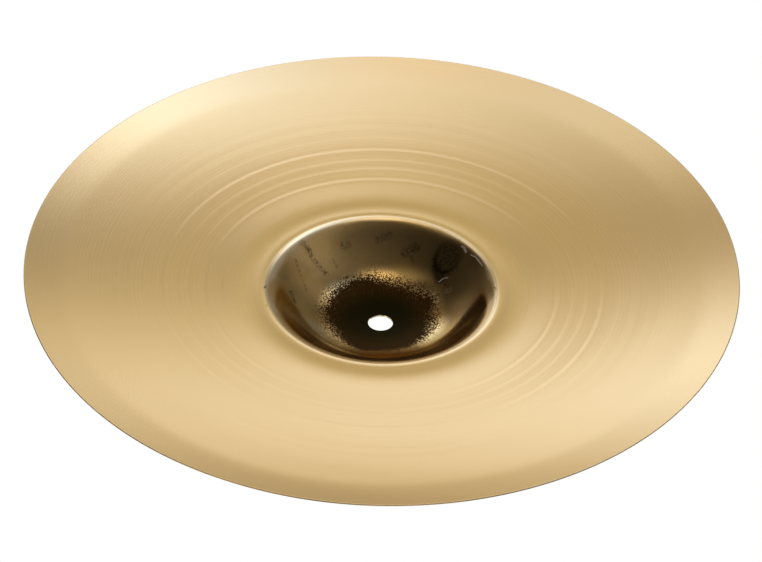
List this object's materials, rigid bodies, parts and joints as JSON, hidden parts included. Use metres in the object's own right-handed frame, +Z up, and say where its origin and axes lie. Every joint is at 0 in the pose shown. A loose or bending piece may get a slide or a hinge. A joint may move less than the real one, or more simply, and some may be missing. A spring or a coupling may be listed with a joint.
{
  "type": "crash cymbal",
  "caption": "Round bronze crash cymbal with a raised bell, a shallow lathed bow, a thin rounded rim and a centre hole that hangs it on a cymbal stand.",
  "frame": {"origin": "centre of the mounting hole, on its axis and halfway through the sheet", "axes": "+Z up along the hole's axis, out of the top of the bell, as the cymbal is played; the rim lies at negative Z; X and Y are free because the cymbal is a body of revolution"},
  "size_m": [0.3556, 0.3556, 0.0416],
  "materials": {
    "bronze": "lathed and lightly aged satin bronze; unlathed glossy dark brown patina inside the bell"
  },
  "bodies": {
    "root": {"cymbal": "bronze"}
  },
  "joints": []
}
